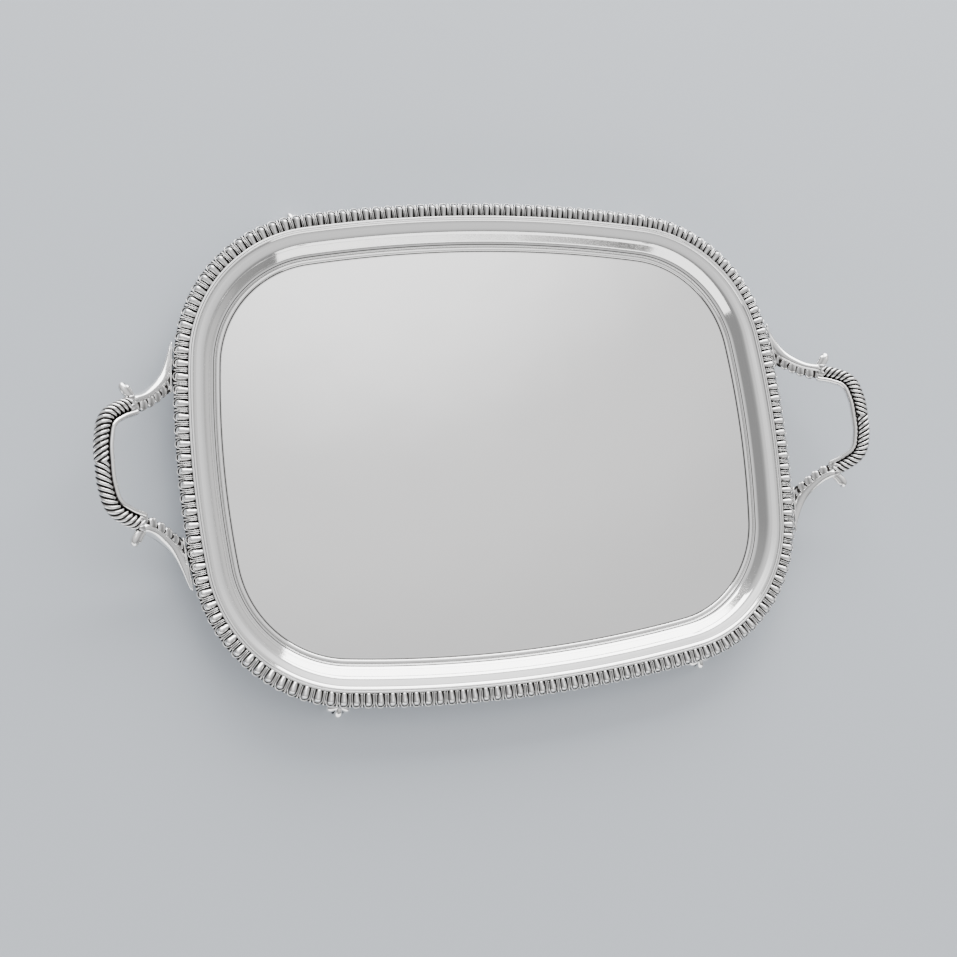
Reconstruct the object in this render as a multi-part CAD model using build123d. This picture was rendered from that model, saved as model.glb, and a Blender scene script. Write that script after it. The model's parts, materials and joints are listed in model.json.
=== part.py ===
from build123d import *
import math
import os

# Silver tray with two handles, in millimetres. +Z is up, X runs from handle to handle,
# and the origin is on the floor, under the middle of the tray.

# ---- Driving dimensions -------------------------------------------------------------

# The outline is eight arcs that run smoothly into one another. It is drawn at the
# border's inner edge, and every moulding of the tray is a parallel of it.
HALF_LENGTH = 240.0
HALF_WIDTH = 183.2
END_RADIUS = 750.0
SIDE_RADIUS = 1070.0
CORNER_RADIUS = 108.5

# Tray body. Heights are above the floor, and insets are inwards from the outline.
SHEET = 1.2
WELL_TOP = 13.0
RIM_TOP = WELL_TOP + 15.0
WELL_INSET = 24.7
PLATE_INSET = 26.0

# Gadrooned border. Its rounded outer edge ends level with the underside of the flange.
BORDER_WIDTH = 11.3
BULB_RADIUS = 2.5
BORDER_INNER_TOP = WELL_TOP + 15.3
BORDER_CREST = WELL_TOP + 17.1
BORDER_LIP = BORDER_CREST - 2 * BULB_RADIUS
FLANGE_TOP = BORDER_LIP + SHEET
SIDE_LOBES = 32
END_LOBES = 16
CORNER_LOBES = 16
GROOVE_RADIUS = 1.2
GROOVE_DEPTH = 0.9

# Handles. A handle lies in a plane that rises outwards from the border's edge.
HANDLE_START = 251.3
HANDLE_START_HEIGHT = WELL_TOP + 13.1
HANDLE_SLOPE = 34.85
GRIP_RADIUS = 5.4
LINER_THICKNESS = 3.5
LINER_HEIGHT = 7.5

# Feet. Each stands on a radius of its corner.
FOOT_ANGLE = 80.0
FOOT_TOP = WELL_TOP + 8.0
PLATE_TOP = WELL_TOP + 12.0
PLATE_HALF_WIDTH = 5.4
PLATE_HALF_LENGTH = 13.0
LEG_OUT = CORNER_RADIUS - 7.0
BALL_OUT = CORNER_RADIUS + 9.0
BALL_RADIUS = 7.5
BALL_FLAT = 3.0
KNUCKLE_RADIUS = 3.2


# ---- Outline ------------------------------------------------------------------------

END_CENTRE = HALF_LENGTH - END_RADIUS
SIDE_CENTRE = HALF_WIDTH - SIDE_RADIUS


def corner_centre():
    """Centre of the back right corner arc, which touches the end arc and the side arc."""
    from_end = END_RADIUS - CORNER_RADIUS
    from_side = SIDE_RADIUS - CORNER_RADIUS
    span = math.hypot(END_CENTRE, SIDE_CENTRE)
    along = (from_end**2 - from_side**2 + span**2) / (2 * span)
    across = math.sqrt(from_end**2 - along**2)
    direction_x = -END_CENTRE / span
    direction_y = SIDE_CENTRE / span
    return END_CENTRE + along * direction_x - across * direction_y, along * direction_y + across * direction_x


CORNER_X, CORNER_Y = corner_centre()
END_ANGLE = math.degrees(math.atan2(CORNER_Y, CORNER_X - END_CENTRE))
SIDE_ANGLE = math.degrees(math.atan2(CORNER_Y - SIDE_CENTRE, CORNER_X))

# name: centre x, centre y, radius, start angle, end angle, lobes
ARCS = {
    "right": (END_CENTRE, 0, END_RADIUS, -END_ANGLE, END_ANGLE, END_LOBES),
    "back_right": (CORNER_X, CORNER_Y, CORNER_RADIUS, END_ANGLE, SIDE_ANGLE, CORNER_LOBES),
    "back": (0, SIDE_CENTRE, SIDE_RADIUS, SIDE_ANGLE, 180 - SIDE_ANGLE, SIDE_LOBES),
    "back_left": (-CORNER_X, CORNER_Y, CORNER_RADIUS, 180 - SIDE_ANGLE, 180 - END_ANGLE, CORNER_LOBES),
    "left": (-END_CENTRE, 0, END_RADIUS, 180 - END_ANGLE, 180 + END_ANGLE, END_LOBES),
    "front_left": (-CORNER_X, -CORNER_Y, CORNER_RADIUS, 180 + END_ANGLE, 180 + SIDE_ANGLE, CORNER_LOBES),
    "front": (0, -SIDE_CENTRE, SIDE_RADIUS, 180 + SIDE_ANGLE, 360 - SIDE_ANGLE, SIDE_LOBES),
    "front_right": (CORNER_X, -CORNER_Y, CORNER_RADIUS, 360 - SIDE_ANGLE, 360 - END_ANGLE, CORNER_LOBES),
}


def radial_plane(centre_x, centre_y, angle):
    """Upright plane through an arc's centre. Its x runs outwards at the angle, its y runs up."""
    cos_a = math.cos(math.radians(angle))
    sin_a = math.sin(math.radians(angle))
    return Plane(origin=(centre_x, centre_y, 0), x_dir=(cos_a, sin_a, 0), z_dir=(sin_a, -cos_a, 0))


def turned(section, arc):
    """A moulding with the given section, turned about one arc of the outline.

    The section's x is the distance outwards from the outline and its y is the height."""
    centre_x, centre_y, radius, start, end, _ = arc
    placed = radial_plane(centre_x, centre_y, start) * Pos(radius, 0) * section
    return revolve(placed, Axis((centre_x, centre_y, 0), (0, 0, 1)), end - start)


# ---- Tray body ----------------------------------------------------------------------


def tray_section():
    """The sheet's section from the hidden flange under the border in to the flat well."""
    flange_edge = BORDER_WIDTH - BULB_RADIUS
    top = [
        (flange_edge, FLANGE_TOP),
        (0, FLANGE_TOP),
        (0, RIM_TOP),
        (-3.0, RIM_TOP),
        (-3.6, WELL_TOP + 14.0),
        (-8.5, WELL_TOP + 12.6),
        (-13.0, WELL_TOP + 12.0),
        (-14.6, WELL_TOP + 10.6),
        (-18.2, WELL_TOP + 3.4),
        (-20.0, WELL_TOP + 1.8),
        (-22.0, WELL_TOP + 1.4),
        (-22.3, WELL_TOP + 0.8),
        (-24.3, WELL_TOP + 0.8),
        (-WELL_INSET, WELL_TOP),
        (-PLATE_INSET, WELL_TOP),
    ]
    underside = [
        (-PLATE_INSET, WELL_TOP - SHEET),
        (-21.0, WELL_TOP - SHEET),
        (-18.2, WELL_TOP + 0.3),
        (-13.4, WELL_TOP + 9.6),
        (-12.4, WELL_TOP + 10.6),
        (-8.2, WELL_TOP + 11.3),
        (-3.4, WELL_TOP + 12.6),
        (-1.6, BORDER_LIP),
        (flange_edge, BORDER_LIP),
    ]
    return make_face(Polyline(top + underside, close=True))


def outline_face(inset):
    """The flat face inside the outline's parallel at the given inset."""
    edges = []
    for centre_x, centre_y, radius, start, end, _ in ARCS.values():
        edges.append(CenterArc((centre_x, centre_y), radius - inset, start, end - start))
    return make_face(edges)


def make_tray_body():
    section = tray_section()
    plate = Pos(0, 0, WELL_TOP - SHEET) * extrude(outline_face(PLATE_INSET), SHEET)
    body = plate.fuse(*[turned(section, arc) for arc in ARCS.values()])
    return body.clean()


# ---- Border -------------------------------------------------------------------------


def border_section():
    """A border moulding that slopes up to a rounded outer edge and laps over the flange."""
    bulb_x = BORDER_WIDTH - BULB_RADIUS
    bulb_z = BORDER_CREST - BULB_RADIUS
    outer = CenterArc((bulb_x, bulb_z), BULB_RADIUS, -90, 180)
    lines = Polyline(
        (bulb_x, BORDER_CREST),
        (0, BORDER_INNER_TOP),
        (0, FLANGE_TOP),
        (bulb_x, FLANGE_TOP),
        (bulb_x, BORDER_LIP),
    )
    return make_face([outer, *lines.edges()])


def groove_cutter():
    """The two round cutters that hollow the border between two lobes, over it and down its edge."""
    bulb_x = BORDER_WIDTH - BULB_RADIUS
    bulb_z = BORDER_CREST - BULB_RADIUS
    lift = GROOVE_RADIUS - GROOVE_DEPTH
    slope = math.degrees(math.atan2(BORDER_CREST - BORDER_INNER_TOP, bulb_x))
    middle = Pos(bulb_x / 2, (BORDER_INNER_TOP + BORDER_CREST) / 2 + lift, 0)
    over = middle * Rot(0, 0, slope) * Rot(0, 90, 0) * Cylinder(GROOVE_RADIUS, 1.25 * BORDER_WIDTH)
    down = Pos(BORDER_WIDTH + lift, bulb_z, 0) * Rot(90, 0, 0) * Cylinder(GROOVE_RADIUS, 4 * BULB_RADIUS)
    return [over, down]


def make_border(arc):
    centre_x, centre_y, radius, start, end, lobes = arc
    band = turned(border_section(), arc)
    cutters = []
    for step in range(lobes + 1):
        angle = start + (end - start) * step / lobes
        plane = radial_plane(centre_x, centre_y, angle)
        for cutter in groove_cutter():
            cutters.append(plane * Pos(radius, 0) * cutter)
    return band.cut(*cutters)


# ---- Handles ------------------------------------------------------------------------

HANDLE_PLANE = Plane(
    origin=(HANDLE_START, 0, HANDLE_START_HEIGHT),
    x_dir=(math.cos(math.radians(HANDLE_SLOPE)), 0, math.sin(math.radians(HANDLE_SLOPE))),
    z_dir=(-math.sin(math.radians(HANDLE_SLOPE)), 0, math.cos(math.radians(HANDLE_SLOPE))),
)

# The grip's line in the handle's plane: how far out from the border's edge, how far back.
# The front half is the same line mirrored.
GRIP_HALF_LINE = [(62.1, 0), (60.8, 18.0), (56.0, 30.6), (45.4, 37.8), (33.5, 42.1)]

# The back right leaf's sections: out, back, width across the leaf, thickness, heading.
LEAF_SECTIONS = [
    (33.5, 41.2, 14.6, 12.0, 160),
    (21.5, 45.9, 12.4, 9.6, 152),
    (11.0, 52.6, 14.0, 8.0, 140),
    (3.5, 62.0, 24.0, 6.6, 150),
    (-1.0, 69.5, 33.0, 5.4, 180),
    (-6.0, 70.5, 36.0, 4.6, 180),
]

# The back right thumb leaf's sections: out, back, width, thickness, heading.
SCROLL_SECTIONS = [
    (29.0, 46.0, 6.0, 5.6, 40),
    (34.5, 49.6, 5.4, 4.6, 30),
    (39.0, 53.0, 4.6, 4.0, 50),
    (40.0, 56.0, 4.4, 4.4, 80),
]


def heading_plane(out, back, heading):
    """A section plane standing on the handle's plane, facing along the heading in degrees."""
    cos_h = math.cos(math.radians(heading))
    sin_h = math.sin(math.radians(heading))
    return Plane(origin=(out, back, 0), x_dir=(-sin_h, cos_h, 0), z_dir=(cos_h, sin_h, 0))


def grip_line():
    front = [(out, -back) for out, back in reversed(GRIP_HALF_LINE[1:])]
    return Spline(*front, *GRIP_HALF_LINE)


def grip_and_liner():
    """The round bar, and the band that is soldered along the bar's inner side."""
    line = grip_line()
    start = line @ 0
    tangent = line % 0
    # The section's x points away from the tray, so the liner is on its minus side
    outwards = Vector(tangent.Y, -tangent.X, 0)
    plane = Plane(origin=start, x_dir=outwards, z_dir=tangent)
    bar_section = Circle(GRIP_RADIUS)
    band = Pos(-GRIP_RADIUS - LINER_THICKNESS / 2 + 1, 0) * Rectangle(LINER_THICKNESS + 2, LINER_HEIGHT)
    liner_section = band - bar_section
    grip = sweep(plane * bar_section, line)
    liner = sweep(plane * liner_section, line)
    return grip, liner


def lofted(sections):
    faces = []
    for out, back, width, thickness, heading in sections:
        faces.append(heading_plane(out, back, heading) * Ellipse(width / 2, thickness / 2))
    return loft(faces)


def make_handle_pieces(border_right):
    """Grip, liner, back leaf and back thumb leaf of the right-hand handle, in place."""
    grip, liner = grip_and_liner()
    leaf = lofted(LEAF_SECTIONS) - grip - liner
    scroll = lofted(SCROLL_SECTIONS) - leaf - grip - liner
    grip, liner, leaf, scroll = [HANDLE_PLANE.location * piece for piece in (grip, liner, leaf, scroll)]
    return grip, liner, leaf - border_right, scroll


# ---- Feet ---------------------------------------------------------------------------

# The leg's level sections: out from the corner arc's centre, height, half sizes out and across.
LEG_SECTIONS = [
    (LEG_OUT, FOOT_TOP, 5.4, 11.0),
    (LEG_OUT + 2.5, FOOT_TOP - 4.0, 4.8, 7.6),
    (LEG_OUT + 8.5, FOOT_TOP - 8.5, 4.8, 5.6),
    (BALL_OUT - 1.5, 9.0, 6.2, 6.6),
]


def make_foot():
    """A claw and ball foot for the back right corner, on the plane of its corner radius.

    Out is the distance from the corner arc's centre, and across is square to it."""
    ball_height = math.sqrt(BALL_RADIUS**2 - BALL_FLAT**2)
    sections = []
    for out, height, half_out, half_across in LEG_SECTIONS:
        sections.append(Pos(out, 0, height) * Ellipse(half_out, half_across))
    foot = loft(sections) + Pos(BALL_OUT, 0, ball_height) * Sphere(BALL_RADIUS)
    for out, across in ((6.9, 0), (3.5, -7.5), (3.5, 7.5)):
        foot += Pos(BALL_OUT + out, across, ball_height) * Sphere(KNUCKLE_RADIUS)
    below_floor = Pos(BALL_OUT, 0, -BALL_RADIUS) * Box(8 * BALL_RADIUS, 8 * BALL_RADIUS, 2 * BALL_RADIUS)
    return foot - below_floor


def make_foot_plate():
    """An oval pad between the foot and the rim, before the rim's shape is cut out of it."""
    oval = Ellipse(PLATE_HALF_WIDTH, PLATE_HALF_LENGTH)
    return Pos(LEG_OUT, 0, FOOT_TOP) * extrude(oval, PLATE_TOP - FOOT_TOP)


CORNER_FRAME = Pos(CORNER_X, CORNER_Y, 0) * Rot(0, 0, FOOT_ANGLE)


# ---- Build and write ----------------------------------------------------------------


def four_corners(shape):
    """The back right shape, its two mirror images and its half turn, one in each corner."""
    return {
        "back_right": shape,
        "front_right": mirror(shape, about=Plane.XZ),
        "back_left": mirror(shape, about=Plane.YZ),
        "front_left": Rot(0, 0, 180) * shape,
    }


def main():
    nodes = {"tray_body": make_tray_body()}
    for name, arc in ARCS.items():
        nodes["border_" + name] = make_border(arc)

    grip, liner, leaf, scroll = make_handle_pieces(turned(border_section(), ARCS["right"]))
    nodes["handle_right_grip"] = grip
    nodes["handle_right_liner"] = liner
    nodes["handle_left_grip"] = mirror(grip, about=Plane.YZ)
    nodes["handle_left_liner"] = mirror(liner, about=Plane.YZ)
    for piece_name, piece in (("leaf", leaf), ("scroll", scroll)):
        for corner, copy in four_corners(piece).items():
            end, side = corner.split("_")
            nodes[f"handle_{side}_{piece_name}_{end}"] = copy

    foot = CORNER_FRAME * make_foot()
    plate = CORNER_FRAME * make_foot_plate() - nodes["tray_body"]
    for corner, copy in four_corners(foot).items():
        nodes["foot_" + corner] = copy
    for corner, copy in four_corners(plate).items():
        nodes["foot_plate_" + corner] = copy

    os.makedirs("parts", exist_ok=True)
    for name, shape in nodes.items():
        export_step(shape, f"parts/{name}.step")
        print(name, len(shape.solids()), round(shape.volume))


main()
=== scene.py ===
# %% [markdown]
# # A silver tray with two handles
# The tray is a sheet of silver with a sunk, flat well. A cast border of lobes is soldered round its
# edge, two handles rise from its ends, and it stands on four cast feet. The CAD model is loaded
# first, because it says how large everything is and where it sits. Each piece is then modelled
# again in finer form, in the same place.

# %% Load the frame
import json
import math

import bmesh
import bpy
from mathutils import Matrix, Vector

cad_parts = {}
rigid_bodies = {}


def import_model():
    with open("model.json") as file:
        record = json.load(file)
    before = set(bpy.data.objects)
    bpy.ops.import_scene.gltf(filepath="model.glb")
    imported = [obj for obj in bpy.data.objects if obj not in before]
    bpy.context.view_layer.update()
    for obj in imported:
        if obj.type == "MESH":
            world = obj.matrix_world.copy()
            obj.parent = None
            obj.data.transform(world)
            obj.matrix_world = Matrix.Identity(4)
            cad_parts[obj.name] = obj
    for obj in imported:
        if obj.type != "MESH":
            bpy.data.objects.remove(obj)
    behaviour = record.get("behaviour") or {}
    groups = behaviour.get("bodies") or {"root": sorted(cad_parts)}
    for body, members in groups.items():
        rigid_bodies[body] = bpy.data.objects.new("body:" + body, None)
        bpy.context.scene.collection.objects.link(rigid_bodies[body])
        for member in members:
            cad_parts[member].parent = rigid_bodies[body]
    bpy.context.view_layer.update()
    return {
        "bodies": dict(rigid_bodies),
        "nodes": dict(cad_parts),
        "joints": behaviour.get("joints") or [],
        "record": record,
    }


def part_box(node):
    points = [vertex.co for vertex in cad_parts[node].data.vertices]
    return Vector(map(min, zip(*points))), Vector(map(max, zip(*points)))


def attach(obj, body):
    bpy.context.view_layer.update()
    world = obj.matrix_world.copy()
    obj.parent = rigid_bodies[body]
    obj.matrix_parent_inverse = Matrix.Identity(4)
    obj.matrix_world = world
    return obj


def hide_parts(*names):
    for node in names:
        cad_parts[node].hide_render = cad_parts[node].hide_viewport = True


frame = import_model()

# %% [markdown]
# ## The outline
# Eight arcs make the tray's outline: two slow ones for the ends, two for the long sides and one at
# each corner. They run smoothly into one another, so every moulding can be made by turning its
# section about each arc's own centre. The outline is drawn at the border's inner edge.

# %% Sizes taken from the frame
MM = 0.001
BORDER_WIDTH = 11.3 * MM
END_RADIUS = 750 * MM
SIDE_RADIUS = 1070 * MM
CORNER_RADIUS = 108.5 * MM
SHEET = 1.2 * MM

well_mount = next(m for m in frame["record"]["mounts"] if m["name"] == "well_top")
WELL_TOP = well_mount["pos_m"][2]
HALF_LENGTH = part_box("border_right")[1].x - BORDER_WIDTH
HALF_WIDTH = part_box("border_back")[1].y - BORDER_WIDTH
print("half length", round(HALF_LENGTH, 4), "half width", round(HALF_WIDTH, 4), "well at", WELL_TOP)

# %% The eight arcs
END_CENTRE = HALF_LENGTH - END_RADIUS
SIDE_CENTRE = HALF_WIDTH - SIDE_RADIUS


def corner_centre():
    """The centre of the back right corner arc, which touches its two neighbours."""
    from_end = END_RADIUS - CORNER_RADIUS
    from_side = SIDE_RADIUS - CORNER_RADIUS
    span = math.hypot(END_CENTRE, SIDE_CENTRE)
    along = (from_end**2 - from_side**2 + span**2) / (2 * span)
    across = math.sqrt(from_end**2 - along**2)
    unit_x = -END_CENTRE / span
    unit_y = SIDE_CENTRE / span
    return END_CENTRE + along * unit_x - across * unit_y, along * unit_y + across * unit_x


CORNER_X, CORNER_Y = corner_centre()
END_ANGLE = math.atan2(CORNER_Y, CORNER_X - END_CENTRE)
SIDE_ANGLE = math.atan2(CORNER_Y - SIDE_CENTRE, CORNER_X)
HALF_TURN = math.pi

LEFT_ANGLE = HALF_TURN - END_ANGLE
FRONT_ANGLE = HALF_TURN + SIDE_ANGLE

# name: centre x, centre y, radius, start angle, end angle, number of lobes
ARCS = {
    "right": (END_CENTRE, 0, END_RADIUS, -END_ANGLE, END_ANGLE, 16),
    "back_right": (CORNER_X, CORNER_Y, CORNER_RADIUS, END_ANGLE, SIDE_ANGLE, 16),
    "back": (0, SIDE_CENTRE, SIDE_RADIUS, SIDE_ANGLE, HALF_TURN - SIDE_ANGLE, 32),
    "back_left": (-CORNER_X, CORNER_Y, CORNER_RADIUS, HALF_TURN - SIDE_ANGLE, LEFT_ANGLE, 16),
    "left": (-END_CENTRE, 0, END_RADIUS, LEFT_ANGLE, HALF_TURN + END_ANGLE, 16),
    "front_left": (-CORNER_X, -CORNER_Y, CORNER_RADIUS, HALF_TURN + END_ANGLE, FRONT_ANGLE, 16),
    "front": (0, -SIDE_CENTRE, SIDE_RADIUS, FRONT_ANGLE, 2 * HALF_TURN - SIDE_ANGLE, 32),
    "front_right": (CORNER_X, -CORNER_Y, CORNER_RADIUS, -SIDE_ANGLE, -END_ANGLE, 16),
}


def outline_matrix(arc, angle):
    """Stands on the outline: x runs along it clockwise, y points outwards and z up."""
    centre_x, centre_y, radius = arc[:3]
    out = Vector((math.cos(angle), math.sin(angle), 0))
    along = Vector((math.sin(angle), -math.cos(angle), 0))
    place = Vector((centre_x, centre_y, 0)) + radius * out
    matrix = Matrix((along, out, Vector((0, 0, 1)))).transposed().to_4x4()
    matrix.translation = place
    return matrix


print("corner centre", round(CORNER_X, 4), round(CORNER_Y, 4))

# %% [markdown]
# ## Helpers for the pieces
# Every piece is made the same way at the end: its bmesh becomes an object at the origin, it gets a
# material, it rides on the frame, and it takes the place of its plain CAD node. One helper keeps
# those calls together.

# %% Helper that finishes a piece
def finish_piece(name, bm, material, nodes, subdivisions=0):
    """Turns a bmesh into the named piece that stands for the given CAD nodes."""
    mesh = bpy.data.meshes.new(name)
    bm.to_mesh(mesh)
    bm.free()
    mesh.polygons.foreach_set("use_smooth", [True] * len(mesh.polygons))
    piece = bpy.data.objects.new(name, mesh)
    bpy.context.scene.collection.objects.link(piece)
    mesh.materials.append(material)
    if subdivisions:
        smoother = piece.modifiers.new("Smooth", "SUBSURF")
        smoother.levels = subdivisions
        smoother.render_levels = subdivisions
    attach(piece, "root")
    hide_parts(*nodes)
    print(name, len(mesh.polygons), "faces in the cage")


# %% Helpers for starting and joining meshes
def start_relief():
    """A new bmesh whose points carry the number for oxide and painted shade."""
    bm = bmesh.new()
    return bm, bm.verts.layers.float.new("oxide_and_shade")


def only(items, kind):
    return [item for item in items if isinstance(item, kind)]


def add_placed(bm, mesh, matrix):
    """Adds a copy of a mesh to the bmesh, moved by the matrix."""
    copy = mesh.copy()
    copy.transform(matrix)
    bm.from_mesh(copy)
    bpy.data.meshes.remove(copy)


# %% Helpers for sections
def wire(bm, points):
    """A line of edges through (out, height) points, on the plane y = 0."""
    verts = [bm.verts.new((out * MM, 0, WELL_TOP + height * MM)) for out, height in points]
    for first, second in zip(verts, verts[1:]):
        bm.edges.new((first, second))
    return verts


def round_corners(bm, rounded):
    """Rounds the wire's corners: a dictionary of vertex and rounding in millimetres."""
    for vert, size in rounded.items():
        bmesh.ops.bevel(
            bm,
            geom=[vert],
            offset=size * MM,
            offset_type="OFFSET",
            segments=4 if size < 1 else 8,
            profile=0.5,
            affect="VERTICES",
            material=-1,
        )


def section_to_arc(bm, arc):
    """Moves a section drawn at the origin to the start of an arc of the outline."""
    centre_x, centre_y, radius, start = arc[:4]
    matrix = Matrix.Translation((centre_x, centre_y, 0)) @ Matrix.Rotation(start, 4, "Z")
    matrix = matrix @ Matrix.Translation((radius, 0, 0))
    bmesh.ops.transform(bm, matrix=matrix, verts=bm.verts)


def spin_arc(bm, geom, arc, steps):
    """Turns a section about one arc and returns the section at the arc's end."""
    centre_x, centre_y, _, start, end = arc[:5]
    turned = bmesh.ops.spin(
        bm,
        geom=geom,
        cent=(centre_x, centre_y, 0),
        axis=(0, 0, 1),
        dvec=(0, 0, 0),
        angle=end - start,
        steps=steps,
        use_merge=False,
    )
    return turned["geom_last"]


# %% [markdown]
# ## Silver
# Silver is a metal with almost no colour of its own, so nearly all of its look is what it mirrors.
# Hand polishing leaves fine curved scratches and slow waves, which a roughness pattern and a very
# slight bump give. Cast relief is finished with a dark oxide that polishing takes off the high
# places only. Each piece therefore carries a number on its points, which is 0 on the high places
# and 1 in the hollows. The same number also paints shade: on the shoulders of the border's
# tongues, on the undersides of the leaves and liners, and on the liners' sides next to the grips.

# %% Silver materials
SILVER = (0.93, 0.925, 0.915, 1)
# The dark colour serves both the oxide in the hollows and the painted shade.
OXIDE_AND_SHADE_COLOUR = (0.035, 0.032, 0.03, 1)
PATCH_SHARE = 0.12


def add_node(tree, kind, **settings):
    node = tree.nodes.new(kind)
    for key, value in settings.items():
        setattr(node, key, value)
    return node


def noise(tree, coordinates, scale, detail, distortion=0.0):
    node = add_node(tree, "ShaderNodeTexNoise")
    node.inputs["Scale"].default_value = scale
    node.inputs["Detail"].default_value = detail
    node.inputs["Distortion"].default_value = distortion
    tree.links.new(coordinates, node.inputs["Vector"])
    return node.outputs["Fac"]


def map_range(tree, value, low, high, to_low, to_high):
    node = add_node(tree, "ShaderNodeMapRange", clamp=True)
    limits = {"From Min": low, "From Max": high, "To Min": to_low, "To Max": to_high}
    for name, number in limits.items():
        node.inputs[name].default_value = number
    tree.links.new(value, node.inputs["Value"])
    return node.outputs["Result"]


def bump(tree, height, strength, distance, normal=None):
    node = add_node(tree, "ShaderNodeBump")
    node.inputs["Strength"].default_value = strength
    node.inputs["Distance"].default_value = distance
    tree.links.new(height, node.inputs["Height"])
    if normal:
        tree.links.new(normal, node.inputs["Normal"])
    return node.outputs["Normal"]


def silver_base(name):
    material = bpy.data.materials.new(name)
    material.use_nodes = True
    tree = material.node_tree
    shader = tree.nodes["Principled BSDF"]
    shader.inputs["Metallic"].default_value = 1.0
    shader.inputs["Base Color"].default_value = SILVER
    coordinates = add_node(tree, "ShaderNodeTexCoord").outputs["Object"]
    return material, tree, shader, coordinates


def darken_by_oxide_and_shade(tree, shader, patches, low, high):
    """Darkens by the oxide and painted shade number, broken by patches, from low to high. Returns
    how dark.
    """
    oxide_and_shade = add_node(tree, "ShaderNodeAttribute", attribute_name="oxide_and_shade").outputs["Fac"]
    shifted = add_node(tree, "ShaderNodeMath", operation="MULTIPLY_ADD")
    shifted.inputs[1].default_value = PATCH_SHARE
    tree.links.new(patches, shifted.inputs[0])
    tree.links.new(oxide_and_shade, shifted.inputs[2])
    dark = map_range(tree, shifted.outputs["Value"], low, high, 0.0, 1.0)
    mix = add_node(tree, "ShaderNodeMix", data_type="RGBA")
    mix.inputs["A"].default_value = SILVER
    mix.inputs["B"].default_value = OXIDE_AND_SHADE_COLOUR
    tree.links.new(dark, mix.inputs["Factor"])
    tree.links.new(mix.outputs["Result"], shader.inputs["Base Color"])
    return dark


def make_sheet_silver():
    """Polished sheet, with faint swirls and a slow unevenness."""
    material, tree, shader, coordinates = silver_base("polished_sheet_silver")
    swirls = noise(tree, coordinates, 260, 4, 2.5)
    darken_by_oxide_and_shade(tree, shader, swirls, 0.35, 0.85)
    tree.links.new(map_range(tree, swirls, 0.35, 0.7, 0.05, 0.13), shader.inputs["Roughness"])
    waves = noise(tree, coordinates, 9, 2)
    uneven = bump(tree, waves, 0.12, 0.004)
    fine = bump(tree, swirls, 0.05, 0.0002, uneven)
    tree.links.new(fine, shader.inputs["Normal"])
    return material


def make_cast_silver():
    """Cast relief: bright on the high places, dark with oxide in the hollows and with painted shade
    on shoulders and undersides.
    """
    material, tree, shader, coordinates = silver_base("cast_silver_with_oxide_and_shade")
    patches = noise(tree, coordinates, 900, 3)
    dark = darken_by_oxide_and_shade(tree, shader, patches, 0.2, 0.6)
    tree.links.new(map_range(tree, dark, 0.0, 1.0, 0.09, 0.45), shader.inputs["Roughness"])
    tree.links.new(bump(tree, patches, 0.12, 0.0003), shader.inputs["Normal"])
    return material


sheet_silver = make_sheet_silver()
cast_silver = make_cast_silver()
print("materials", sheet_silver.name, cast_silver.name)

# %% [markdown]
# ## The tray body
# The body is raised from one sheet. From the edge inwards there is a hidden flange under the
# border, a raised line, a gently hollow rim, a steep wall called the bouge, a small step and a
# bead, and then the flat well. Its section is a closed line with rounded corners. Spinning it
# about the eight arcs gives the moulding, and one flat face closes each side of the well.

# %% Tray body
# (out, height, rounding) in millimetres from the outline and above the well
TRAY_TOP = [
    (-26.0, 0.0, 0),
    (-24.2, 0.0, 0.25),
    (-23.6, 0.8, 0.4),
    (-22.5, 1.0, 0.4),
    (-21.7, 0.8, 0.3),
    (-21.2, 0.45, 0.15),
    (-20.6, 0.7, 0.15),
    (-20.3, 1.4, 0.25),
    (-19.3, 1.75, 0.5),
    (-17.2, 2.9, 1.0),
    (-12.6, 10.0, 1.5),
    (-10.4, 11.9, 1.3),
    (-7.6, 12.6, 1.4),
    (-5.3, 13.0, 0.9),
    (-3.8, 13.9, 0.4),
    (-3.3, 14.9, 0.3),
    (-2.2, 15.0, 0.2),
    (-1.9, 14.6, 0.15),
    (-1.6, 15.1, 0.2),
    (-0.3, 15.1, 0.3),
    (0.0, 14.6, 0.2),
    (0.0, 13.3, 0),
    (8.8, 13.3, 0),
]
TRAY_UNDERSIDE = [
    (8.8, 12.1, 0),
    (-1.6, 12.1, 0.4),
    (-3.4, 12.7, 0.4),
    (-6.9, 11.7, 1.4),
    (-9.8, 10.8, 1.2),
    (-11.6, 9.3, 1.0),
    (-16.2, 2.2, 1.5),
    (-19.0, 0.4, 0.8),
    (-22.0, -1.2, 0.8),
    (-26.0, -1.2, 0),
]
# Polishing never reaches the bottom of these fine grooves: (out, height)
DARK_LINES = [(-24.2, 0.0), (-21.2, 0.45), (-19.3, 1.75), (-1.9, 14.6), (0.0, 13.9)]
GROOVE_REACH = 0.3 * MM
GROOVE_TARNISH = 0.8
CORNER_STEPS = 30
END_STEPS = 16
SIDE_STEPS = 30


def arc_steps(name):
    """How many steps a section takes round the named arc."""
    if name in ("right", "left"):
        return END_STEPS
    if name in ("front", "back"):
        return SIDE_STEPS
    return CORNER_STEPS


def close_well(bm, height):
    """Fills the hole inside the loop of edges that lies at the given height."""
    open_edges = [edge for edge in bm.edges if edge.is_boundary]
    rim = [edge for edge in open_edges if abs(edge.verts[0].co.z - height) < 0.1 * MM]
    bmesh.ops.contextual_create(bm, geom=rim)


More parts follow.
